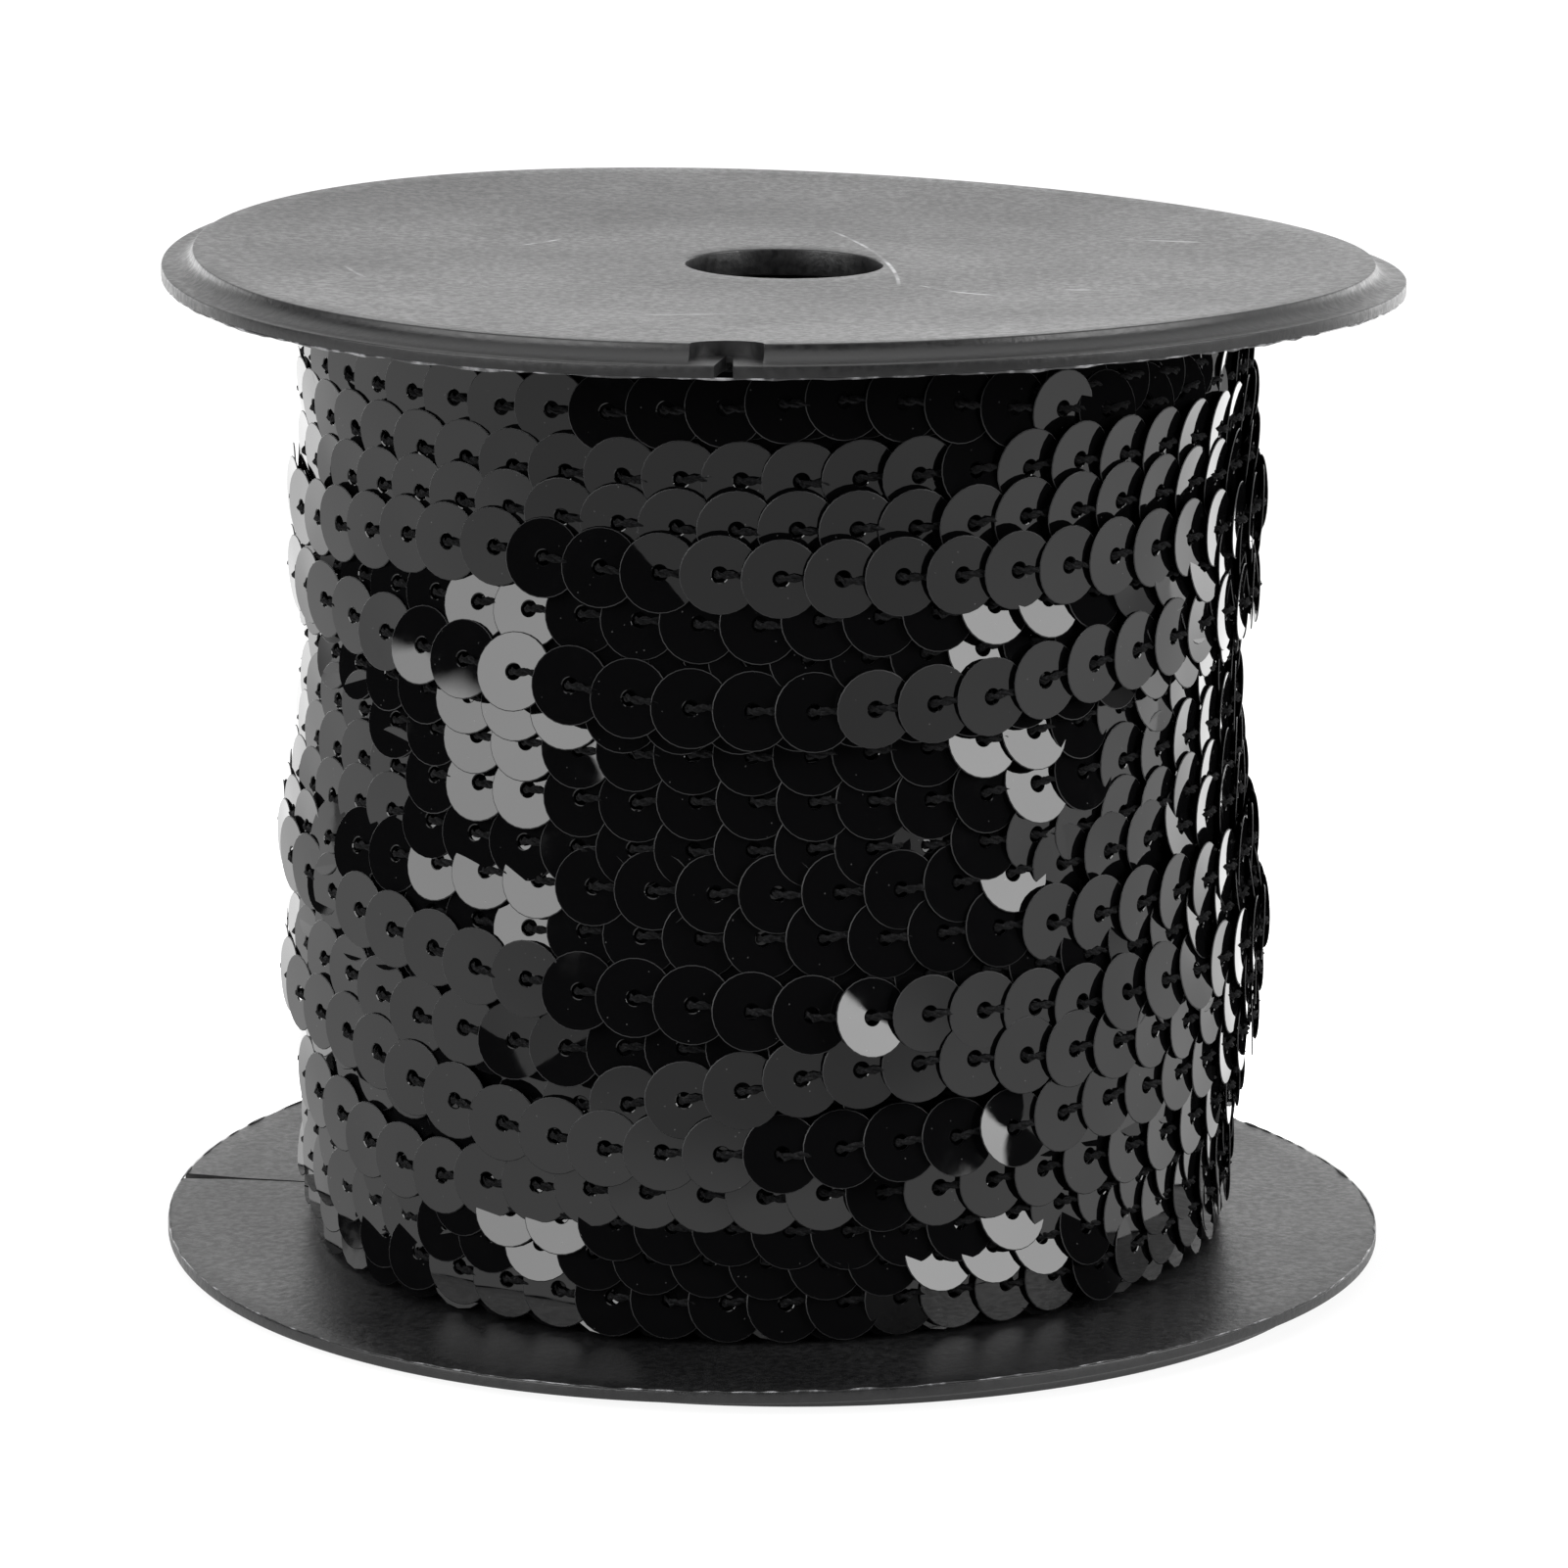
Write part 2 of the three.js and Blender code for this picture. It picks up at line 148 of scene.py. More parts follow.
# The turns that show, in the order in which they were laid. A path is azimuth and height. Phase is
# the azimuth of one of the turn's sequins, and pitch stands where it isn't SEQUIN_PITCH. Proud is how
# far, by azimuth, a turn may stand out from the winding's outside, or how far under it where negative.
# Mirrors gives, from each azimuth on, the elevation in degrees that the sequins mirror to the camera,
# one of these six. Special gives single sequins: azimuth, degrees turned more to the right, and how
# they are bent along the strand, across it and diagonally, in one over millimetres.
DOWN = -22  # the floor near the spool, in sequins that look down
FLOOR = -14  # the floor, in sequins that lie flat
EDGE = -2  # the far floor, and the dark above it where the sequin is bent
DARK = 4  # the dark side of the room, in sequins whose lower edges stand out
PART = 7.5  # the lower border of a softbox
SHINE = 15  # a softbox, at its azimuths
TURNS = [
    {"name": "turn_19", "phase": 8.6, "proud": [(-60, -0.5), (-46, 0)],
     "path": [(-180, 4.8), (-90, 6.4), (-60, 6.6), (-44, 5.6), (-18, 5.0), (8, 5.3), (29, 5.6),
              (38, 5.8), (49, 6.1), (56, 6.6), (90, 7.2), (180, 8.0)],
     "mirrors": [(-180, DARK), (-46, FLOOR), (-22, DARK), (12, FLOOR), (40, DARK), (46, FLOOR)]},
    {"name": "turn_18", "phase": -28, "proud": [(0, 0)],
     "path": [(-180, 8.0), (-90, 8.6), (-28, 8.5), (20, 8.7), (34, 8.9), (50, 9.3), (90, 9.9),
              (180, 10.8)],
     "mirrors": [(-180, DARK), (-80, FLOOR), (-45, DARK), (-31, SHINE), (-24, DARK), (17, SHINE),
                 (38, DARK), (45, FLOOR)]},
    {"name": "turn_17", "phase": 9, "proud": [(0, 0)],
     "special": [(-39, 0, (0, -0.012, -0.012))],
     "path": [(-180, 10.8), (-90, 11.3), (-55, 11.0), (-42, 10.9), (-4, 11.0), (22, 10.9),
              (40, 11.6), (50, 11.8), (90, 12.3), (180, 13.9)],
     "mirrors": [(-180, FLOOR), (-43, PART), (-35, SHINE), (-22, DARK), (26, SHINE), (33, FLOOR)]},
    {"name": "turn_16", "phase": 6, "proud": [(-50, 0.5), (-38, 0.4), (-20, 0.1)],
     "path": [(-180, 13.9), (-90, 15.2), (-66, 14.6), (-54, 13.0), (-47, 12.4), (-34, 12.9),
              (-8, 13.8), (12, 13.8), (26, 14.1), (40, 14.6), (53, 14.8), (90, 15.6), (180, 16.8)],
     "mirrors": [(-180, FLOOR), (10, DARK), (16, FLOOR)]},
    {"name": "turn_14a", "phase": -17, "proud": [(0, -0.2)],
     "special": [(-31, 0, (0.02, 0.015, 0.01)), (-24, 0, (0.015, 0.02, -0.012))],
     "path": [(-180, 25.4), (-90, 26.2), (-58, 26.1), (-44, 24.9), (-24, 24.5), (-11, 25.1),
              (30, 26.2), (90, 27.4), (180, 28.8)],
     "mirrors": [(-180, FLOOR), (-35, EDGE), (-21, DARK), (60, FLOOR)]},
    {"name": "turn_12b", "phase": 4, "proud": [(0, -0.3)],
     "path": [(-180, 28.8), (-90, 29.6), (-30, 30.6), (12, 30.7), (90, 31.2), (180, 31.8)],
     "mirrors": [(-180, DARK)]},
    {"name": "turn_12", "phase": 5.5, "proud": [(0, 0)],
     "path": [(-180, 31.8), (-90, 33.0), (-36, 33.3), (6, 33.8), (47, 33.9), (90, 34.3),
              (180, 35.2)],
     "mirrors": [(-180, FLOOR), (-75, DARK), (-32, SHINE), (-25, DARK), (30, FLOOR)]},
    {"name": "turn_11", "phase": 0.2, "pitch": 7.05, "proud": [(14, 0), (22, -0.25), (34, -0.25), (44, 0)],
     "special": [(35, 0, (-0.015, 0.02, 0.01)), (42, 0, (0.01, -0.01, 0.015))],
     "path": [(-180, 35.2), (-90, 36.0), (-65, 36.2), (-42, 37.0), (-20, 37.0), (0, 37.2),
              (21, 37.4), (35, 38.1), (56, 38.6), (90, 38.7), (180, 38.9)],
     "mirrors": [(-180, FLOOR), (-65, DARK), (-45, SHINE), (-24, DARK), (25, SHINE), (32, FLOOR),
                 (52, DARK), (59, FLOOR)]},
    {"name": "turn_10", "phase": 18, "proud": [(11, 0), (18, -0.35), (24, 0.1), (34, 0.1), (44, 0)],
     "special": [(32, 0, (0.025, 0.015, -0.015)), (25, 0, (-0.02, 0.01, 0.012))],
     "path": [(-180, 38.9), (-90, 39.1), (-65, 39.3), (-52, 39.9), (-31, 39.6), (0, 40.4),
              (18, 40.4), (38, 40.6), (50, 40.9), (90, 41.4), (180, 42.2)],
     "mirrors": [(-180, FLOOR), (-47, DARK), (15, FLOOR), (22, DARK), (28, FLOOR)]},
    {"name": "turn_9", "phase": 4.4, "proud": [(18, 0), (24, 0.2), (34, 0.2), (44, 0)],
     "path": [(-180, 42.2), (-90, 42.6), (-66, 42.9), (-37, 43.6), (-24, 43.5), (4, 44.1),
              (25, 44.0), (39, 44.8), (51, 45.1), (90, 45.9), (180, 46.2)],
     "mirrors": [(-180, FLOOR), (-47, DARK), (-40, SHINE), (-27, DARK), (28, SHINE), (35, DARK),
                 (42, FLOOR)]},
    {"name": "turn_8", "phase": 17.7, "proud": [(18, 0), (24, 0.15), (34, 0.15), (44, 0)],
     "special": [(-44, 0, (0, 0, 0.02)), (-24, 0, (0, 0, -0.02))],
     "path": [(-180, 46.2), (-90, 46.4), (-73, 46.6), (-51, 47.0), (-17, 47.2), (17, 47.8),
              (37, 48.7), (51, 49.5), (90, 49.8), (180, 50.0)],
     "mirrors": [(-180, FLOOR), (-55, DARK), (-41, SHINE), (-27, DARK),
                 (21, SHINE), (34, DARK), (42, FLOOR), (48, DARK), (55, FLOOR)]},
    {"name": "turn_7", "phase": -32, "proud": [(0, 0)],
     "path": [(-180, 50.0), (-90, 50.0), (-61, 50.4), (-25, 50.0), (20, 51.4), (90, 53.0),
              (180, 53.6)],
     "mirrors": [(-180, FLOOR), (-69, DARK), (-42, SHINE), (-22, DARK), (60, FLOOR)]},
    {"name": "turn_5b", "phase": 24, "proud": [(0, -0.2)],
     "path": [(-180, 53.6), (-40, 54.2), (24, 55.2), (90, 56.2), (180, 56.8)],
     "mirrors": [(-180, DARK), (21, SHINE), (28, DARK)]},
    {"name": "turn_5", "phase": 18.4, "proud": [(0, 0)],
     "path": [(-180, 56.8), (-90, 57.0), (-50, 57.6), (-10, 57.4), (20, 58.2), (30, 58.5),
              (90, 59.0), (180, 60.0)],
     "mirrors": [(-180, FLOOR), (-80, DARK), (-40, SHINE), (-26, DARK), (22, SHINE), (36, DARK),
                 (66, FLOOR)]},
    {"name": "turn_0", "phase": 10, "proud": [(0, -0.3)],
     "special": [(37.5, -8, (0, 0, 0)), (44.4, -12, (0, 0, 0)), (51.3, -17, (0, 0, 0)),
                 (58.2, -20, (0, 0, 0))],
     "path": [(-180, 74.4), (-90, 74.2), (10, 74.8), (60, 74.2), (180, 74.0)],
     "mirrors": [(-180, DARK)]},
    {"name": "turn_1", "phase": 0.3, "proud": [(0, 0)],
     "path": [(-180, 74.0), (-90, 72.4), (-50, 72.4), (-30, 72.4), (-10, 73.2), (10, 74.0),
              (30, 72.8), (40, 72.2), (60, 72.4), (90, 72.0), (180, 70.4)],
     "special": [(41, -6.5, (0, 0, 0.003)), (48, -11, (0.003, 0, 0)), (55, -16, (0, 0.003, 0)),
                 (62, -15, (0.002, 0, 0.002))],
     "mirrors": [(-180, FLOOR), (-24, DARK), (31, FLOOR), (38, DARK), (69, FLOOR)]},
    {"name": "turn_2", "phase": 2.3, "proud": [(30, 0.1), (40, 0.45)],
     "path": [(-180, 70.4), (-90, 69.0), (-50, 68.4), (-35, 68.0), (-20, 68.0), (0, 68.0),
              (20, 68.4), (60, 68.8), (90, 68.4), (180, 66.6)],
     "mirrors": [(-180, DOWN), (20, DARK), (26, DOWN)]},
    {"name": "turn_3", "phase": 1.9, "proud": [(9, 0.2), (16, 0.6), (30, 0.6), (37, 0.2)],
     "path": [(-180, 66.6), (-90, 64.8), (-70, 64.4), (-40, 65.0), (-20, 64.5), (20, 64.6),
              (50, 65.2), (90, 65.0), (180, 62.8)],
     "mirrors": [(-180, DOWN)]},
    {"name": "turn_4", "phase": -27.4, "proud": [(-60, 0.6), (-30, 1.2), (-10, 1.2), (40, 0.6)],
     "special": [(-14, 0, (0.02, 0.02, 0.02))],
     "path": [(-180, 62.8), (-90, 61.0), (-75, 60.6), (-40, 61.8), (-34, 61.8), (-24, 61.3),
              (0, 61.0), (40, 61.1), (60, 61.4), (90, 61.0), (180, 57.6)],
     "mirrors": [(-180, FLOOR), (-31, DARK), (-17, EDGE), (-10, FLOOR)]},
    {"name": "turn_6", "phase": 4,
     "proud": [(-70, 0.6), (-50, 1.5), (-37, 1.7), (-30, 2.1), (-22, 2.0), (-9, 1.4), (30, 1.3), (60, 0.6)],
     "special": [(-51, 0, (0.01, 0.015, 0)), (-44, 0, (0.004, 0.014, 0)), (-37, 0, (0, 0.014, 0))],
     "path": [(-180, 57.6), (-90, 55.2), (-66, 54.8), (-50, 53.8), (-37, 53.2), (-27, 52.6),
              (-10, 51.2), (5, 51.1), (24, 51.7), (38, 53.2), (58, 54.2), (90, 54.0), (180, 44.0)],
     "mirrors": [(-180, FLOOR), (-54, EDGE), (-47, PART), (-34, SHINE), (-27, DARK), (8, FLOOR)]},
    {"name": "turn_13", "phase": 4, "pitch": 6.5, "special": [(10.5, 11, (0.010, 0.019, 0.0137))],
     "proud": [(-60, 0.5), (-35, 1.3), (20, 1.3), (60, 0.5)],
     "path": [(-180, 44.0), (-130, 38.0), (-90, 34.4), (-70, 33.1), (-50, 31.4), (-33, 29.8),
              (-10, 28.8), (5, 28.2), (17, 28.1), (37, 27.6), (50, 27.7), (90, 27.4), (180, 24.8)],
     "mirrors": [(-180, FLOOR), (-26, DARK), (8, PART), (14, FLOOR), (40, EDGE), (53, DARK),
                 (59, FLOOR)]},
    {"name": "turn_14", "phase": 9.5, "pitch": 6.45,
     "proud": [(-24, -0.7), (-17, 0.9), (40, 0.9), (60, 0.4)],
     "path": [(-180, 16.8), (-90, 17.9), (-50, 18.8), (-16, 20.6), (-3, 22.4), (4, 23.5),
              (17, 24.2), (44, 23.9), (58, 23.9), (90, 24.2), (180, 25.4)],
     "mirrors": [(-180, FLOOR)]},
    {"name": "turn_15", "phase": 1, "pitch": 6.6,
     "special": [(20.8, 0, (0.01, 0.012, 0)), (27.4, 0, (0.01, 0.01, 0.03)), (34, 0, (0.015, 0, 0.015))],
     "proud": [(-60, 0.5), (-35, 1.2), (-10, 1.7), (25, 1.7), (60, 0.5)],
     "path": [(-180, 24.8), (-90, 23.0), (-69, 22.4), (-54, 21.2), (-40, 19.0), (-26, 17.4),
              (-6, 17.3), (17, 18.2), (28, 18.6), (41, 19.6), (55, 19.8), (90, 20.0), (180, 18.6)],
     "mirrors": [(-180, FLOOR), (-2, DARK), (31, FLOOR)]},
]

# The layer under the turns that show
UNDER_TURNS = 22
UNDER_LOW = 4.0
UNDER_HIGH = 76.0
UNDER_PROUD = -1.2

# Height, and radius at the left and at the right, of the winding's outside
BULGES = [
    (2, 38.2, 37.0), (12, 37.8, 37.0), (18, 38.2, 38.1), (25, 39.7, 38.7), (30, 38.6, 39.0),
    (34.5, 39.6, 38.2), (40, 38.3, 37.0), (50, 37.7, 36.5), (57, 38.5, 38.0), (63, 37.9, 37.4),
    (78, 38.0, 36.4)]
LAYING_DEPTH = 2.2  # from the winding's outside in to what the first laid sequins rest on
SEAT_DEPTH = 0.5  # from the winding's outside in to the middle of a sequin
RESTING = 0.75  # share of a sequin's thickness from what it rests on to its middle
FLANGE_ROOM = 0.15  # between a sequin's rim and a flange
FEEL_RINGS = [(3.0, 24), (2.3, 12), (1.5, 8), (0.7, 4), (0.0, 1)]  # radius and number of points
COVER_STEP = 0.33  # between the points at which a sequin covers the winding

# How sequins are tilted to mirror what they should
EYE_DISTANCE = 500  # from the camera to the front of the winding, level
SIDE_AZIMUTH = 68  # beyond it sequins are laid as at the front
LEAST_TOWARD = 0.7  # least share toward the camera that counts, where the lower edge stands out
FLAT_TOWARD = 0.8  # the same where the sequin lies flat or looks down

# The inner turns, one plain body under the sequins
BODY_AROUND = 120
BODY_ROWS = 76
BODY_LOW = 3.4
BODY_HIGH = 76.0
BODY_INNER_RADIUS = 17.4
BODY_DEPTH = 2.6  # from the winding's outside in to the body's
BODY_RIPPLE = 0.15


def smooth(t):
    t = np.clip(t, 0, 1)
    return t * t * (3 - 2 * t)


def warp_height(warp, x, y):
    """How far its warp lifts a flange here. The middle stays flat."""
    u = x / FLANGE_RADIUS
    v = y / FLANGE_RADIUS
    settled = smooth((np.hypot(x, y) - HUB_RADIUS) / WARP_RUN_IN)
    rise = warp["tilt_x"] * u + warp["tilt_y"] * v + warp["twist"] * u * v
    return settled * (rise + warp["saddle"] * (u * u - v * v))


def upper_face(x, y):
    """Height of the upper flange's inner face, which is warped and dished."""
    outward = np.clip((np.hypot(x, y) - HUB_RADIUS) / (RAISED_RADIUS - HUB_RADIUS), 0, 1)
    return UPPER_FACE + warp_height(UPPER_WARP, x, y) - HUB_DISH * (1 - outward ** DISH_POWER)


def lower_face(x, y):
    """Height of the lower flange's inner face, which is warped."""
    return LOWER_FACE + warp_height(LOWER_WARP, x, y)


def outside_radius(turn, height):
    """Radius of the winding's outside at an angle in radians and a height."""
    heights, left, right = np.array(BULGES, float).T
    share = 0.5 + 0.5 * np.sin(turn)
    return np.interp(height, heights, left) * (1 - share) + np.interp(height, heights, right) * share


def add_camera():
    pitch, roll, yaw = (math.radians(angle) for angle in (CAMERA_PITCH, CAMERA_ROLL, CAMERA_YAW))
    data = bpy.data.cameras.new("camera")
    data.sensor_width = SENSOR_WIDTH
    data.lens = FOCAL_LENGTH
    camera = bpy.data.objects.new("camera", data)
    bpy.context.scene.collection.objects.link(camera)
    ahead = Vector((math.sin(yaw) * math.cos(pitch), math.cos(yaw) * math.cos(pitch), -math.sin(pitch)))
    right = ahead.cross(Vector((0, 0, 1))).normalized()
    up = right.cross(ahead)
    turned_right = right * math.cos(roll) + up * math.sin(roll)
    turned_up = up * math.cos(roll) - right * math.sin(roll)
    turn = Matrix((turned_right, turned_up, -ahead)).transposed()
    eye = Vector((0, -EYE_FROM_AXIS * MM, EYE_HEIGHT * MM))
    camera.matrix_world = Matrix.Translation(eye) @ turn.to_4x4()
    bpy.context.scene.camera = camera


class Nodes:
    """A short way to write a node tree."""

    def __init__(self, tree):
        self.tree = tree
        tree.nodes.clear()

    def add(self, kind, inputs=None, **settings):
        node = self.tree.nodes.new(kind)
        for key, value in settings.items():
            setattr(node, key, value)
        for key, value in (inputs or {}).items():
            socket = node.inputs[key]
            if isinstance(value, bpy.types.NodeSocket):
                self.tree.links.new(value, socket)
            else:
                socket.default_value = value
        return node

    def math(self, operation, a, b=0.0, c=0.0):
        return self.add("ShaderNodeMath", {0: a, 1: b, 2: c}, operation=operation).outputs[0]

    def ramp(self, value, low, high, out_low=0.0, out_high=1.0):
        """A soft step from out_low at low to out_high at high."""
        return self.add("ShaderNodeMapRange", {
            "Value": value, "From Min": low, "From Max": high, "To Min": out_low, "To Max": out_high,
        }, interpolation_type="SMOOTHSTEP").outputs[0]

    def band(self, value, low, high, edge):
        """1 between low and high and 0 outside, with soft borders."""
        rise = self.ramp(value, low - edge, low + edge)
        fall = self.ramp(value, high - edge, high + edge, 1.0, 0.0)
        return self.math("MULTIPLY", rise, fall)


def make_studio():
    """What the spool mirrors: a white backdrop behind it, a dark room on the camera's side with two
    softboxes in it, and a pale ceiling. The camera itself sees plain white."""
    world = bpy.data.worlds.new("studio")
    bpy.context.scene.world = world
    world.use_nodes = True
    n = Nodes(world.node_tree)
    place = n.add("ShaderNodeTexCoord").outputs["Generated"]
    split = n.add("ShaderNodeSeparateXYZ", {0: place}).outputs
    toward = n.math("MULTIPLY", split[1], -1.0)
    azimuth = n.math("DEGREES", n.math("ARCTAN2", split[0], toward))
    elevation = n.math("DEGREES", n.math("ARCSINE", split[2]))
    # The backdrop begins a little behind the spool's sides and is brighter low down
    backdrop = n.math("ADD", n.ramp(azimuth, 98, 118, 0.0, BACKDROP),
                      n.ramp(azimuth, -132, -116, BACKDROP, 0.0))
    backdrop = n.math("MULTIPLY", backdrop, n.ramp(elevation, 6, 18, 1.5, 0.85))
    # Low side walls, left and right of what is straight behind the spool
    side = n.band(n.math("ABSOLUTE", azimuth), 126, 162, 8)
    side = n.math("MULTIPLY", side, n.ramp(elevation, 3, 9, 1.0, 0.0))
    backdrop = n.math("ADD", backdrop, n.math("MULTIPLY", side, SIDE_WALL))
    overhead = n.ramp(elevation, 42, 62, 0.0, OVERHEAD)
    # Both softboxes are brighter toward the camera's azimuth
    height = n.band(elevation, *BOX_ELEVATIONS, 0.7)
    left = n.math("MULTIPLY", n.band(azimuth, *LEFT_BOX, 1), n.ramp(azimuth, -84, -34, 0.67, 0.87))
    right = n.math("MULTIPLY", n.band(azimuth, *RIGHT_BOX, 1), n.ramp(azimuth, 52, 84, 1.15, 0.9))
    boxes = n.math("MULTIPLY", n.math("ADD", left, right), n.math("MULTIPLY", height, SOFTBOX))
    light = n.math("ADD", n.math("ADD", n.math("MAXIMUM", backdrop, overhead), boxes), DARK_SIDE)
    studio = n.add("ShaderNodeBackground", {"Color": (1, 1, 1, 1), "Strength": light})
    plain = n.add("ShaderNodeBackground", {"Color": (1, 1, 1, 1), "Strength": 1.0})
    seen = n.add("ShaderNodeLightPath").outputs["Is Camera Ray"]
    both = n.add("ShaderNodeMixShader", {0: seen, 1: studio.outputs[0], 2: plain.outputs[0]})
    n.add("ShaderNodeOutputWorld", {"Surface": both.outputs[0]})
    bpy.context.scene.view_settings.view_transform = "Standard"


def new_material(name):
    material = bpy.data.materials.new(name)
    material.use_nodes = True
    return material, Nodes(material.node_tree)


def object_place(n):
    return n.add("ShaderNodeTexCoord").outputs["Object"]


def finish_material(n, shader):
    n.add("ShaderNodeOutputMaterial", {"Surface": shader.outputs[0]})


def floor_material():
    """White floor, dimmer in front of the spool and brighter behind it at the left and right, so that
    sequins and flanges mirror it as in the photo. In the picture all of it is white."""
    material, n = new_material("pale_floor")
    grain = n.add("ShaderNodeTexNoise", {"Vector": object_place(n), "Scale": 900.0})
    color = n.add("ShaderNodeMix", {0: grain.outputs[0], 6: (0.86, 0.86, 0.86, 1), 7: (0.9, 0.9, 0.9, 1)},
                  data_type="RGBA")
    lit = n.add("ShaderNodeBsdfDiffuse", {"Color": color.outputs[2], "Roughness": 0.5})
    # Painted glow: most of the floor's brightness is light that it gives off itself, which keeps the shadows
    # on it faint; its strength, set below, is dimmer in front and brighter behind
    split = n.add("ShaderNodeSeparateXYZ", {0: object_place(n)}).outputs
    toward = n.math("MULTIPLY", split[1], -1.0)
    azimuth = n.math("DEGREES", n.math("ARCTAN2", split[0], toward))
    # Dimmer in front, from 83 mm on
    ahead = n.ramp(n.math("ABSOLUTE", azimuth), 32, 78, 0.5, 0.0)
    dim = n.math("SUBTRACT", 1.0, n.math("MULTIPLY", n.ramp(toward, 83 * MM, 130 * MM), ahead))
    # Brighter behind
    right = n.ramp(azimuth, 118, 136, 0.0, 1.8)
    left = n.ramp(azimuth, -136, -118, 1.3, 0.0)
    behind = n.ramp(n.math("ABSOLUTE", azimuth), 150, 172, 1.0, 0.0)
    bright = n.math("MULTIPLY", n.math("ADD", right, left), behind)
    glow = n.add("ShaderNodeEmission", {"Strength": n.math("MULTIPLY_ADD", dim, 1.05, bright)})
    shader = n.add("ShaderNodeMixShader", {0: 0.85, 1: lit.outputs[0], 2: glow.outputs[0]})
    finish_material(n, shader)
    return material


def scratch(n, place, patchy, x, y, direction, radius, reach):
    """How strong a thin curved scratch on top of the upper flange is at this place."""
    t = math.radians(direction)
    top = UPPER_FACE + FLANGE_THICKNESS - DISH_MEAN
    centre = np.array((x + radius * math.cos(t), y + radius * math.sin(t), top)) * MM
    middle = np.array((x, y, top)) * MM
    from_centre, from_middle = (
        n.add("ShaderNodeVectorMath", {0: place, 1: point}, operation="DISTANCE").outputs["Value"]
        for point in (centre, middle))
    off = n.math("ABSOLUTE", n.math("SUBTRACT", from_centre, radius * MM))
    line = n.ramp(off, SCRATCH_WIDTH * MM / 4, SCRATCH_WIDTH * MM, 1.0, 0.0)
    length = n.ramp(from_middle, reach * MM * 0.6, reach * MM, 1.0, 0.0)
    faint = n.ramp(patchy.outputs[0], 0.4, 0.6, 0.15, 1.0)
    return n.math("MULTIPLY", n.math("MULTIPLY", line, length), faint)


def plastic_material():
    """Satin black plastic: a fine mottle like leather grain, duller patches and a few light scratches."""
    material, n = new_material("spool_plastic")
    place = object_place(n)
    mottle = n.add("ShaderNodeTexNoise", {"Vector": place, "Scale": 1600.0, "Detail": 4.0, "Roughness": 0.6})
    cloud = n.add("ShaderNodeTexNoise", {"Vector": place, "Scale": 60.0, "Detail": 3.0})
    tone = n.math("MULTIPLY", mottle.outputs[0], cloud.outputs[0])
    color = n.add("ShaderNodeMix", {
        0: n.ramp(tone, 0.1, 0.45), 6: (0.003, 0.003, 0.0033, 1), 7: (0.012, 0.012, 0.0125, 1),
    }, data_type="RGBA")
    patchy = n.add("ShaderNodeTexNoise", {"Vector": place, "Scale": 400.0, "Detail": 3.0})
    worn = 0.0
    for x, y, direction, radius, reach in SCRATCHES:
        worn = n.math("MAXIMUM", worn, scratch(n, place, patchy, x, y, direction, radius, reach))
    scratched = n.add("ShaderNodeMix", {0: worn, 6: color.outputs[2], 7: (0.4, 0.4, 0.41, 1)},
                      data_type="RGBA")
    rough = n.math("MULTIPLY_ADD", cloud.outputs[0], 0.16, n.ramp(mottle.outputs[0], 0.3, 0.7, 0.26, 0.38))
    bump = n.add("ShaderNodeBump", {"Height": mottle.outputs[0], "Strength": 0.2, "Distance": 0.0002})
    shader = n.add("ShaderNodeBsdfPrincipled", {
        "Base Color": scratched.outputs[2], "Roughness": rough, "Normal": bump.outputs[0]})
    finish_material(n, shader)
    return material


def burr_material():
    """The same plastic, paler in ragged patches along the burr."""
    material, n = new_material("spool_plastic_edge")
    patchy = n.add("ShaderNodeTexNoise", {"Vector": object_place(n), "Scale": 800.0, "Detail": 3.0})
    color = n.add("ShaderNodeMix", {
        0: n.ramp(patchy.outputs[0], 0.45, 0.7), 6: (0.02, 0.02, 0.021, 1), 7: (0.3, 0.3, 0.31, 1),
    }, data_type="RGBA")
    shader = n.add("ShaderNodeBsdfPrincipled", {"Base Color": color.outputs[2], "Roughness": 0.4})
    finish_material(n, shader)
    return material


def film_material():
    """Glossy black film with a trace of haze and fine dust."""
    material, n = new_material("sequin_film")
    place = object_place(n)
    haze = n.add("ShaderNodeTexNoise", {"Vector": place, "Scale": 700.0, "Detail": 3.0})
    rough = n.ramp(haze.outputs[0], 0.35, 0.75, 0.02, 0.06)
    dust = n.add("ShaderNodeTexVoronoi", {"Vector": place, "Scale": 900.0})
    speck = n.ramp(dust.outputs["Distance"], 0.03, 0.07, 1.0, 0.0)
    color = n.add("ShaderNodeMix", {0: speck, 6: (0.0022, 0.0022, 0.0024, 1), 7: (0.05, 0.05, 0.05, 1)},
                  data_type="RGBA")
    shader = n.add("ShaderNodeBsdfPrincipled", {"Base Color": color.outputs[2], "Roughness": rough})
    finish_material(n, shader)
    return material


def rim_material():
    """The cut rim of the film, which is dull."""
    material, n = new_material("sequin_rim")
    uneven = n.add("ShaderNodeTexNoise", {"Vector": object_place(n), "Scale": 1200.0, "Detail": 2.0})
    color = n.add("ShaderNodeMix", {
        0: uneven.outputs[0], 6: (0.004, 0.004, 0.0045, 1), 7: (0.035, 0.035, 0.036, 1),
    }, data_type="RGBA")
    shader = n.add("ShaderNodeBsdfPrincipled", {"Base Color": color.outputs[2], "Roughness": 0.5})
    shader.inputs["Specular IOR Level"].default_value = 0.3
    finish_material(n, shader)
    return material


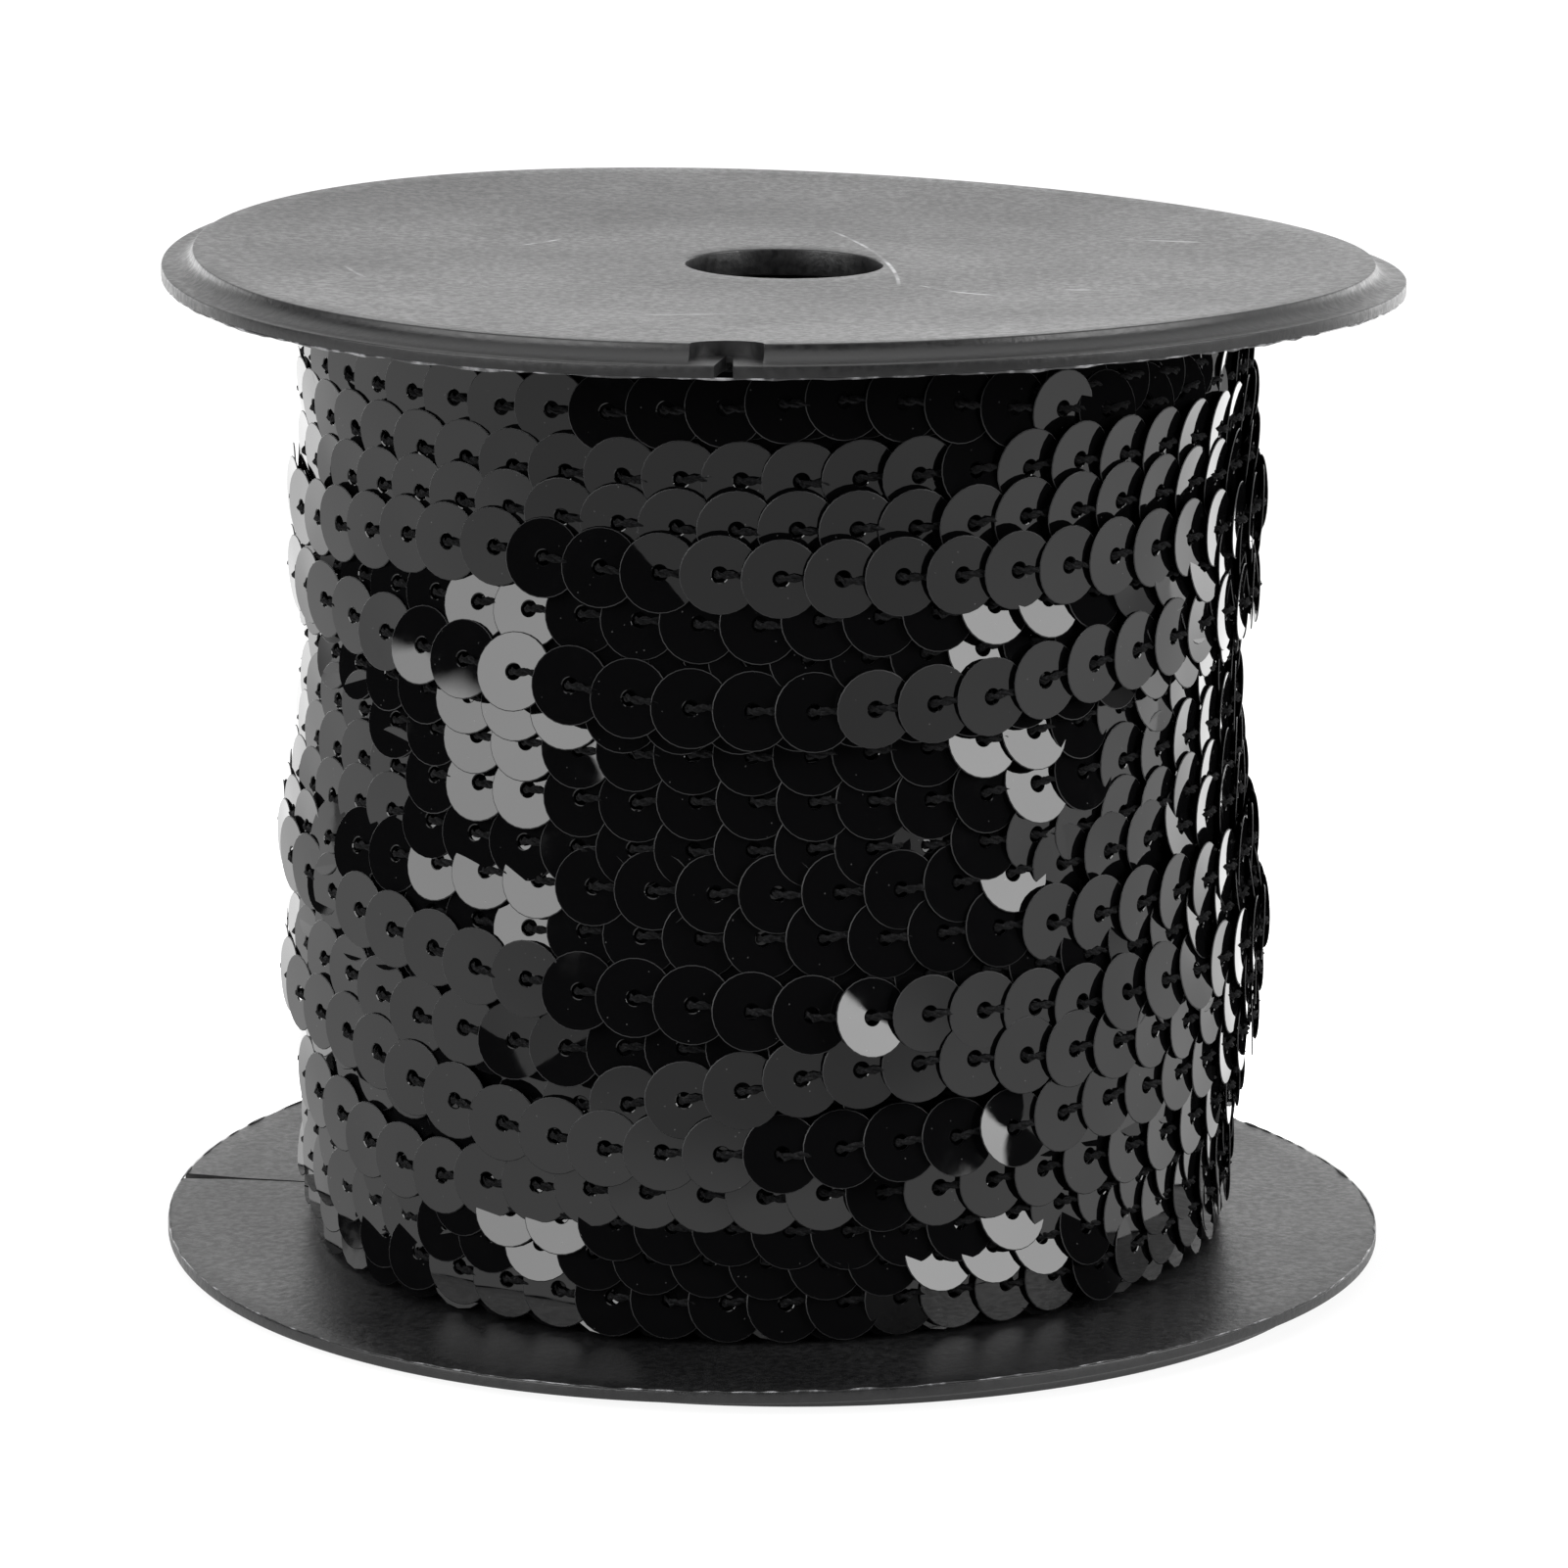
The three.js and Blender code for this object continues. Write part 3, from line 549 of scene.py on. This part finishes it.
def thread_material():
    """Twisted black thread."""
    material, n = new_material("sewing_thread")
    place = object_place(n)
    fibre = n.add("ShaderNodeTexNoise", {"Vector": place, "Scale": 5000.0, "Detail": 2.0})
    color = n.add("ShaderNodeMix", {
        0: n.ramp(fibre.outputs[0], 0.4, 0.75), 6: (0.002, 0.002, 0.0022, 1), 7: (0.014, 0.014, 0.015, 1),
    }, data_type="RGBA")
    bump = n.add("ShaderNodeBump", {"Height": fibre.outputs[0], "Strength": 0.6, "Distance": 0.0001})
    shader = n.add("ShaderNodeBsdfPrincipled", {
        "Base Color": color.outputs[2], "Roughness": 0.85, "Normal": bump.outputs[0]})
    shader.inputs["Specular IOR Level"].default_value = 0.15
    finish_material(n, shader)
    return material


def add_mesh(name, points, faces, material, sharp_degrees=None):
    mesh = bpy.data.meshes.new(name)
    mesh.from_pydata((np.asarray(points) * MM).tolist(), [], faces)
    mesh.materials.append(material)
    mesh.polygons.foreach_set("use_smooth", np.ones(len(mesh.polygons), bool))
    if sharp_degrees is not None:
        mesh.set_sharp_from_angle(angle=math.radians(sharp_degrees))
    mesh.update()
    piece = bpy.data.objects.new(name, mesh)
    bpy.context.scene.collection.objects.link(piece)
    return piece


def hand_over(piece, node):
    """Attaches a piece to the root body, in place of a node of the CAD, which it hides."""
    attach(piece, "root")
    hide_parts(node)


def ring_faces(rings, around):
    """Quads between rings of points, the last ring joined to the first."""
    faces = []
    for k in range(rings):
        a = k * around
        b = (k + 1) % rings * around
        for i in range(around):
            j = (i + 1) % around
            faces.append((a + i, a + j, b + j, b + i))
    return faces


def arc_points(centre, radii, start, end, steps):
    """Points on an ellipse's arc, as radius and height."""
    turn = np.radians(np.linspace(start, end, steps + 1))
    return [(centre[0] + radii[0] * math.cos(t), centre[1] + radii[1] * math.sin(t)) for t in turn]


def flange_section():
    """Radius and height of a flange's section. Height 0 is its inner face, its outer face is up."""
    e = EDGE_ROUNDING
    top, lip = FLANGE_THICKNESS, LIP_THICKNESS
    section = arc_points((HOLE_RADIUS + e, e), (e, e), 180, 270, 3)
    section += [(r, 0.0) for r in np.arange(10, 48, FACE_STEP)]
    section += arc_points((FLANGE_RADIUS - e, e), (e, e), -90, 0, 3)
    section += arc_points((FLANGE_RADIUS - e, lip - e), (e, e), 0, 90, 3)
    section += arc_points((RAISED_RADIUS + COVE_WIDTH, top), (COVE_WIDTH, RAISED_HEIGHT), 270, 190, 9)
    section += arc_points((RAISED_RADIUS - e, top - e), (e, e), 10, 90, 3)
    section += [(r, top) for r in np.arange(44, 9, -FACE_STEP)]
    section += arc_points((HOLE_RADIUS + e, top - e), (e, e), 90, 180, 3)
    return np.array(section)


def lathe_points(section):
    """Points of a section turned round the spool's axis."""
    turn = np.linspace(0, 2 * np.pi, FLANGE_AROUND, endpoint=False)
    radius, height = section[:, :1], section[:, 1:]
    x = radius * np.sin(turn)
    y = -radius * np.cos(turn)
    z = np.broadcast_to(height, x.shape)
    return x.ravel(), y.ravel(), z.ravel()


def radial_prism(outline, azimuth, low, high):
    """A prism cutter. The outline's first axis points outward at the azimuth, its second to the right."""
    t = math.radians(azimuth)
    outward = np.array((math.sin(t), -math.cos(t)))
    sideways = np.array((math.cos(t), math.sin(t)))
    flat = [outward * a + sideways * b for a, b in outline]
    points = [(x, y, low) for x, y in flat] + [(x, y, high) for x, y in flat]
    count = len(flat)
    faces = [tuple(range(count - 1, -1, -1)), tuple(range(count, 2 * count))]
    faces += [(i, (i + 1) % count, count + (i + 1) % count, count + i) for i in range(count)]
    mesh = bpy.data.meshes.new("cutter")
    mesh.from_pydata((np.array(points) * MM).tolist(), [], faces)
    cutter = bpy.data.objects.new("cutter", mesh)
    bpy.context.scene.collection.objects.link(cutter)
    return cutter


def notch_outline():
    """Half an ellipse that opens to the rim."""
    points = arc_points((RAISED_RADIUS, 0), (NOTCH_REACH, NOTCH_HALF_WIDTH), 90, 270, 16)
    return points + [(FLANGE_RADIUS + 1, -NOTCH_HALF_WIDTH), (FLANGE_RADIUS + 1, NOTCH_HALF_WIDTH)]


def wedge_outline(inner_radius, inner_width, rim_width):
    """A slit or groove that widens from its inner end to the rim."""
    reach = FLANGE_RADIUS + 0.5
    return [(inner_radius, inner_width / 2), (inner_radius, -inner_width / 2),
            (reach, -rim_width / 2), (reach, rim_width / 2)]


def cut_away(piece, cutters):
    """Cuts the cutters out of a piece and deletes them."""
    for cutter in cutters:
        cut = piece.modifiers.new("cut", "BOOLEAN")
        cut.operation = "DIFFERENCE"
        cut.solver = "EXACT"
        cut.object = cutter
    graph = bpy.context.evaluated_depsgraph_get()
    mesh = bpy.data.meshes.new_from_object(piece.evaluated_get(graph))
    piece.modifiers.clear()
    old = piece.data
    piece.data = mesh
    bpy.data.meshes.remove(old)
    for cutter in cutters:
        bpy.data.meshes.remove(cutter.data)
    mesh.polygons.foreach_set("use_smooth", np.ones(len(mesh.polygons), bool))
    mesh.set_sharp_from_angle(angle=math.radians(FLANGE_SHARP_DEGREES))


def add_flange(name, node, azimuth, face, outward, material):
    """A flange with its notch. outward is 1 where its outer face is up and -1 where it is down."""
    section = flange_section()
    x, y, height = lathe_points(section)
    if outward > 0:
        z = height + face(x, y)
    else:
        inner = face(x, y)
        above_floor = np.clip((FLANGE_THICKNESS - height) / RAISED_HEIGHT, 0, 1)
        z = np.where(height < LIP_THICKNESS, inner - height, above_floor * (inner - LIP_THICKNESS))
    faces = ring_faces(len(section), FLANGE_AROUND)
    if outward < 0:
        faces = [f[::-1] for f in faces]
    piece = add_mesh(name, np.column_stack((x, y, z)), faces, material)
    t = math.radians(azimuth)
    at_notch = float(face(RAISED_RADIUS * math.sin(t), -RAISED_RADIUS * math.cos(t)))

    def slab(outline, near, far):
        """A cutter between two distances from the inner face toward the outer one."""
        ends = (at_notch + near, at_notch + far) if outward > 0 else (at_notch - far, at_notch - near)
        return radial_prism(outline, azimuth, *ends)

    slit_start = RAISED_RADIUS - NOTCH_REACH + 0.3  # just outside the notch's inner end
    cut_away(piece, [
        slab(notch_outline(), LIP_THICKNESS, LIP_THICKNESS + CUT_REACH),
        slab(wedge_outline(slit_start, SLIT_INSIDE, SLIT_AT_RIM), -CUT_REACH, CUT_REACH),
        slab(wedge_outline(GROOVE_END, GROOVE_WIDTH / 3, GROOVE_WIDTH), -CUT_REACH, GROOVE_DEPTH),
    ])
    hand_over(piece, node)


def add_burr(name, node, face, side, height, material):
    """The ragged thin line that moulding leaves round a flange, on the edge of its inner face.

    side is 1 where that face is up and -1 where it is down.
    """
    turn = np.linspace(0, 2 * np.pi, BURR_AROUND, endpoint=False)
    noise = np.tile(rng.normal(0, 1, BURR_AROUND), 3)  # three times, so that it closes when smoothed
    ragged = np.convolve(noise, np.hanning(7) / 2, "same")[BURR_AROUND:2 * BURR_AROUND]
    thick = height * (0.5 + 0.4 * np.clip(ragged, -1, 2))
    points = []
    for k in range(BURR_SIDES):
        round_burr = 2 * math.pi * k / BURR_SIDES
        radius = FLANGE_RADIUS - BURR_INSET - thick * (1 - math.cos(round_burr))
        x, y = radius * np.sin(turn), -radius * np.cos(turn)
        points.append(np.column_stack((x, y, face(x, y) + thick * (0.4 * side + math.sin(round_burr)))))
    faces = ring_faces(BURR_SIDES, BURR_AROUND)
    piece = add_mesh(name, np.vstack(points), faces, material, sharp_degrees=60)
    hand_over(piece, node)


def path_height(points, at):
    """Smooth height along a turn's path."""
    known, values = np.array(points, float).T
    slopes = np.gradient(values, known)
    i = np.clip(np.searchsorted(known, at, side="right") - 1, 0, len(known) - 2)
    span = known[i + 1] - known[i]
    t = (at - known[i]) / span
    return ((2 * t ** 3 - 3 * t ** 2 + 1) * values[i] + (t ** 3 - 2 * t ** 2 + t) * span * slopes[i]
            + (3 * t ** 2 - 2 * t ** 3) * values[i + 1] + (t ** 3 - t ** 2) * span * slopes[i + 1])


def disc_points(rings):
    """Points spread over a disc: pairs of ring radius and number of points."""
    points = []
    for radius, count in rings:
        turn = np.linspace(0, 2 * np.pi, count, endpoint=False)
        points += [(radius * math.cos(t), radius * math.sin(t)) for t in turn]
    return np.array(points)


class Winding:
    """The surface that has been wound so far, as a radius by azimuth and height."""

    AZIMUTH_STEP = 0.75
    HEIGHT_STEP = 0.4
    ROWS = 205

    def __init__(self):
        columns = int(360 / self.AZIMUTH_STEP)
        heights = np.arange(self.ROWS) * self.HEIGHT_STEP
        azimuths = -180 + np.arange(columns) * self.AZIMUTH_STEP
        self.outside = outside_radius(np.radians(azimuths)[None, :], heights[:, None])
        self.top = self.outside - LAYING_DEPTH
        self.feel = disc_points(FEEL_RINGS)
        spread = np.arange(-SEQUIN_RADIUS, SEQUIN_RADIUS + 0.01, COVER_STEP)
        grid = np.array([(s, u) for s in spread for u in spread])
        self.cover = grid[np.hypot(grid[:, 0], grid[:, 1]) <= SEQUIN_RADIUS]

    def cells(self, points):
        """Rows and columns of the surface at these points."""
        azimuth = np.degrees(np.arctan2(points[:, 0], -points[:, 1]))
        column = np.round((azimuth + 180) / self.AZIMUTH_STEP).astype(int) % self.top.shape[1]
        row = np.clip(np.round(points[:, 2] / self.HEIGHT_STEP).astype(int), 0, self.ROWS - 1)
        return row, column

    def lay(self, azimuth, height, slope, yaw, tilt, proud):
        """Seats a sequin on what lies under it. Returns its centre and its three axes."""
        t = math.radians(azimuth)
        outward = np.array((math.sin(t), -math.cos(t), 0.0))
        edge = outward[:2] * WINDING_RADIUS
        room = SEQUIN_RADIUS * math.cos(math.radians(tilt)) + FLANGE_ROOM
        height = min(max(height, lower_face(*edge) + room), upper_face(*edge) - room)
        along = np.array((math.cos(t), math.sin(t), slope))
        along /= np.linalg.norm(along)
        upward = np.cross(outward, along)
        yaw, tilt = math.radians(yaw), math.radians(tilt)
        normal = outward * math.cos(yaw) + along * math.sin(yaw)
        along = along * math.cos(yaw) - outward * math.sin(yaw)
        up = upward * math.cos(tilt) - normal * math.sin(tilt)
        normal = normal * math.cos(tilt) + upward * math.sin(tilt)
        nominal = self.outside[min(self.ROWS - 1, int(height / self.HEIGHT_STEP)),
                               int((azimuth + 180) / self.AZIMUTH_STEP) % self.top.shape[1]]
        centre = outward * nominal + np.array((0, 0, height))
        feel = centre + self.feel[:, :1] * along + self.feel[:, 1:] * up
        row, column = self.cells(feel)
        reach = np.hypot(feel[:, 0], feel[:, 1])
        move = np.max(self.top[row, column] + SEQUIN_THICKNESS * RESTING - reach)
        centre = centre + outward * min(move, proud - SEAT_DEPTH)
        cover = centre + self.cover[:, :1] * along + self.cover[:, 1:] * up
        row, column = self.cells(cover)
        np.maximum.at(self.top, (row, column), np.hypot(cover[:, 0], cover[:, 1]) + SEQUIN_THICKNESS / 2)
        return centre, along, up, normal


def sequin_shape(around, profile):
    """A sequin's points, as along, up and outward, and its faces."""
    turn = np.linspace(0, 2 * np.pi, around, endpoint=False)
    points = [(r * math.cos(t), r * math.sin(t), h) for r, h in profile for t in turn]
    return np.array(points), np.array(ring_faces(len(profile), around))


def full_sequin(bend):
    """A sequin bent by these curvatures along the strand, across it and diagonally."""
    half = SEQUIN_THICKNESS / 2
    c = SEQUIN_CHAMFER
    outward, down = SEQUIN_HOLE_EDGE
    points, faces = sequin_shape(SEQUIN_SIDES, [
        (SEQUIN_HOLE, -half), (SEQUIN_HOLE, half - down), (SEQUIN_HOLE + outward, half),
        (SEQUIN_MIDDLE, half), (SEQUIN_RADIUS - c, half), (SEQUIN_RADIUS, 0), (SEQUIN_RADIUS - c, -half)])
    along, up = points[:, 0], points[:, 1]
    points[:, 2] += (bend[0] * along ** 2 + bend[1] * up ** 2) / 2 + bend[2] * along * up
    return points, faces


def hidden_sequin():
    """A plainer sequin for the layer below."""
    half = SEQUIN_THICKNESS / 2
    return sequin_shape(HIDDEN_SIDES, [
        (SEQUIN_HOLE, -half), (SEQUIN_HOLE, half), (SEQUIN_RADIUS - 0.05, half), (SEQUIN_RADIUS, 0)])


def join_copies(shapes, places):
    """A copy of one of the shapes at every place, or of the place's own shape, as points and faces."""
    every = []
    for centre, along, up, normal, own in places:
        points, faces = own or shapes[rng.integers(len(shapes))]
        every.append(centre + points[:, :1] * along + points[:, 1:2] * up + points[:, 2:] * normal)
    shift = np.arange(len(places)) * len(points)
    joined = (faces[None, :, :] + shift[:, None, None]).reshape(-1, faces.shape[1])
    return np.vstack(every), joined.tolist()


def tilt_to_mirror(elevation, faces, height):
    """The tilt of a sequin that faces this azimuth and mirrors this elevation to the camera."""
    look = math.atan2(EYE_HEIGHT - height, EYE_DISTANCE)
    toward = 1.0
    if abs(faces) < SIDE_AZIMUTH:
        toward = max(math.cos(math.radians(faces)), LEAST_TOWARD if elevation > 0 else FLAT_TOWARD)
    level, down = math.cos(look) * toward, math.sin(look)
    lift = math.asin(math.sin(math.radians(elevation)) / math.hypot(level, down))
    return math.degrees(lift + math.atan2(down, level)) / 2


def lay_turn(winding, turn, spread):
    """Lays a turn from left to right and returns the places of its sequins."""
    yaw_spread, tilt_spread = spread
    path, phase = turn["path"], turn["phase"]
    pitch = turn.get("pitch", SEQUIN_PITCH)
    first = phase - math.floor((phase + 180) / pitch) * pitch
    azimuths = np.arange(first, first + 359.0, pitch)
    azimuths = azimuths[azimuths <= 180]
    heights = path_height(path, azimuths)
    ahead = path_height(path, np.clip(azimuths + 1, -180, 180))
    behind = path_height(path, np.clip(azimuths - 1, -180, 180))
    known, values = np.array(turn["proud"], float).T
    proud = np.interp(azimuths, known, values)
    starts = [start for start, _ in turn["mirrors"]]
    places = []
    for azimuth, height, rise, limit in zip(azimuths, heights, ahead - behind, proud):
        slope = rise / (2 * math.radians(1) * WINDING_RADIUS)
        elevation = turn["mirrors"][bisect.bisect(starts, azimuth) - 1][1]
        turned, own = 0, None
        for at, more, bend in turn.get("special", []):
            if abs(at - azimuth) < SPECIAL_REACH:
                turned, own = more, full_sequin(bend)
        turned += np.interp(azimuth, *zip(*LEFT_EDGE_LIFT))
        yaw = turned + rng.normal(0, yaw_spread)
        tilt = tilt_to_mirror(elevation, azimuth + turned, height)
        tilt += rng.normal(0, tilt_spread)
        seat = winding.lay(azimuth, height + rng.normal(0, HEIGHT_SPREAD), slope, yaw, tilt, limit)
        places.append((*seat, own))
    return places


def thread_shape():
    """Two twisted plies that come up through the hole and run right, under the next sequin."""
    route = np.array(THREAD_ROUTE)
    start = rng.uniform(0, 2 * math.pi)
    wander = rng.normal(0, THREAD_WANDER, len(route)).cumsum() * (route[:, 0] > 0)
    points, faces = [], []
    for ply in (0, 1):
        first = len(points)
        for k, (s, h) in enumerate(route):
            twist = start + k * PLY_TWIST + ply * math.pi
            u = wander[k] + PLY_OFFSET * math.cos(twist)
            out = PLY_OFFSET * math.sin(twist)
            for i in range(THREAD_SIDES):
                t = 2 * math.pi * i / THREAD_SIDES
                points.append((s, u + PLY_RADIUS * math.cos(t), h + out + PLY_RADIUS * math.sin(t)))
        for k in range(len(route) - 1):
            for i in range(THREAD_SIDES):
                j = (i + 1) % THREAD_SIDES
                a, b = first + k * THREAD_SIDES, first + (k + 1) * THREAD_SIDES
                faces.append((a + i, a + j, b + j, b + i))
        faces.append(tuple(first + i for i in reversed(range(THREAD_SIDES))))
        last = first + (len(route) - 1) * THREAD_SIDES
        faces.append(tuple(last + i for i in range(THREAD_SIDES)))
    return np.array(points), np.array(faces)


def add_rims(piece, material):
    """Gives the rims of a piece's full sequins their own material."""
    ring = np.arange(len(piece.data.polygons)) % (SEQUIN_RINGS * SEQUIN_SIDES) // SEQUIN_SIDES
    piece.data.materials.append(material)
    piece.data.polygons.foreach_set("material_index", np.isin(ring, RIM_RINGS).astype(np.int32))


def add_winding(film, rim, thread):
    """The layer below in one piece, each turn that shows in a piece of its own, and their thread."""
    winding = Winding()
    hidden = []
    step = (UNDER_HIGH - UNDER_LOW) / (UNDER_TURNS - 1)
    for k in range(UNDER_TURNS):
        low = UNDER_LOW + k * step
        turn = {"path": [(-180, low - step / 2), (0, low), (180, low + step / 2)],
                "phase": rng.uniform(-3, 3), "proud": [(0, UNDER_PROUD)], "mirrors": [(-180, DARK)]}
        hidden += lay_turn(winding, turn, UNDER_SPREAD)
    points, faces = join_copies([hidden_sequin()], hidden)
    piece = add_mesh("sequins_under_layer", points, faces, film, sharp_degrees=30)
    hand_over(piece, "sequin_winding")
    bent = [full_sequin(rng.normal(0, SEQUIN_BEND, 3)) for _ in range(BENT_SHAPES)]
    shown = []
    for turn in TURNS:
        places = lay_turn(winding, turn, SHOWN_SPREAD)
        points, faces = join_copies(bent, places)
        piece = add_mesh("sequins_" + turn["name"], points, faces, film, sharp_degrees=30)
        add_rims(piece, rim)
        hand_over(piece, "sequin_winding")
        shown += places
    threads = [thread_shape() for _ in range(THREAD_SHAPES)]
    points, faces = join_copies(threads, [(*seat, None) for *seat, _ in shown])
    piece = add_mesh("strand_thread", points, faces, thread, sharp_degrees=60)
    hand_over(piece, "sequin_winding")


def add_winding_body(thread):
    """The mass of inner turns, seen only as dark between the sequins."""
    turn = np.linspace(0, 2 * np.pi, BODY_AROUND, endpoint=False)
    points = []
    for z in np.linspace(BODY_LOW, BODY_HIGH, BODY_ROWS):
        radius = outside_radius(turn, z) - BODY_DEPTH + BODY_RIPPLE * np.sin(z * 3.1 + 5 * turn)
        points += [(r * math.sin(t), -r * math.cos(t), z) for r, t in zip(radius, turn)]
    for z in (BODY_HIGH, BODY_LOW):
        points += [(BODY_INNER_RADIUS * math.sin(t), -BODY_INNER_RADIUS * math.cos(t), z) for t in turn]
    faces = ring_faces(BODY_ROWS + 2, BODY_AROUND)
    piece = add_mesh("winding_inner_turns", points, faces, thread, sharp_degrees=40)
    hand_over(piece, "sequin_winding")


def add_floor():
    half = FLOOR_HALF
    points = [(-half, -half, 0), (half, -half, 0), (half, half, 0), (-half, half, 0)]
    floor = add_mesh("floor", points, [(0, 1, 2, 3)], floor_material())


add_camera()
make_studio()
add_floor()
plastic = plastic_material()
film = film_material()
thread = thread_material()
add_flange("lower_flange_moulding", "lower_flange", LOWER_NOTCH_AZIMUTH, lower_face, -1, plastic)
add_flange("upper_flange_moulding", "upper_flange", UPPER_NOTCH_AZIMUTH, upper_face, 1, plastic)
pale_edge = burr_material()
add_burr("lower_flange_burr", "lower_flange", lower_face, 1, LOWER_BURR, pale_edge)
add_burr("upper_flange_burr", "upper_flange", upper_face, -1, UPPER_BURR, pale_edge)
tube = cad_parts["core_tube"]
tube.data.materials.clear()
tube.data.materials.append(plastic)
add_winding_body(thread)
add_winding(film, rim_material(), thread)

bpy.context.view_layer.update()
